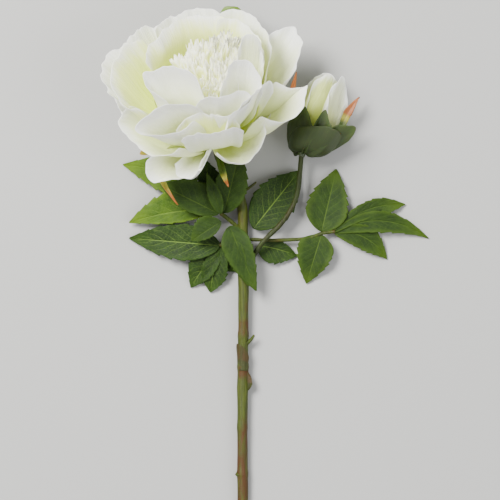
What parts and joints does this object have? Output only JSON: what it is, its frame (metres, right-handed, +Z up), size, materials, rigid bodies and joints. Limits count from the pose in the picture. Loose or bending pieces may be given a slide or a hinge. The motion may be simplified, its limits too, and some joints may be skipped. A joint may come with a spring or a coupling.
{
  "type": "peony stem",
  "caption": "Cut peony stem lying on a surface, with an open double bloom, a side bud and divided leaves.",
  "frame": {"origin": "middle of the outline's box, on the surface the stem lies on", "axes": "+Y up the stem towards the bloom, +X towards the bud's side, +Z up from the surface"},
  "size_m": [0.2117, 0.333, 0.0926],
  "materials": {
    "petal": "matte, soft sheen",
    "petal_centre": "matte",
    "sepal": "matte, orange tips",
    "leaf": "matte, pale veins",
    "stem": "satin, mottled"
  },
  "bodies": {
    "root": {"inner_petal_north": "petal", "inner_petal_east": "petal", "inner_petal_southeast": "petal", "inner_petal_south": "petal", "inner_petal_southwest": "petal", "middle_petal_west": "petal", "middle_petal_north": "petal", "middle_petal_northeast": "petal", "middle_petal_east": "petal", "middle_petal_southeast": "petal", "middle_petal_south": "petal", "middle_petal_southwest": "petal", "outer_petal_west": "petal", "outer_petal_northwest": "petal", "outer_petal_north": "petal", "outer_petal_northeast": "petal", "outer_petal_east": "petal", "outer_petal_southeast": "petal", "outer_petal_south": "petal", "outer_petal_hanging": "petal", "outer_petal_southwest": "petal", "sepal_north": "sepal", "sepal_east": "sepal", "sepal_south": "sepal", "sepal_hanging": "sepal", "sepal_west": "sepal", "bud_petal_top": "petal", "bud_petal_left": "petal", "bud_petal_under": "petal", "bud_petal_right": "petal", "bud_sepal_left": "sepal", "bud_sepal_top": "sepal", "bud_sepal_right": "sepal", "bud_sepal_thin": "sepal", "bud_sepal_under": "sepal", "receptacle": "stem", "petaloid_tuft": "petal_centre", "bud_calyx_base": "stem", "upper_left_leaflet_far": "leaf", "upper_left_leaflet_low": "leaf", "upper_left_leaflet_dark": "leaf", "upper_left_leaflet_narrow": "leaf", "upper_left_leaflet_bent": "leaf", "upper_leaflet_right": "leaf", "upper_leaflet_left": "leaf", "lower_left_leaflet_long": "leaf", "lower_left_leaflet_lobed": "leaf", "lower_left_leaflet_front": "leaf", "middle_leaflet_large": "leaf", "middle_leaflet_small": "leaf", "right_leaflet_up": "leaf", "right_leaflet_down": "leaf", "right_leaflet_lobed": "leaf", "main_stem": "stem", "bud_stem": "stem", "right_leaf_stalk": "stem", "upper_left_stalk": "stem", "lower_left_stalk": "stem"}
  },
  "joints": []
}
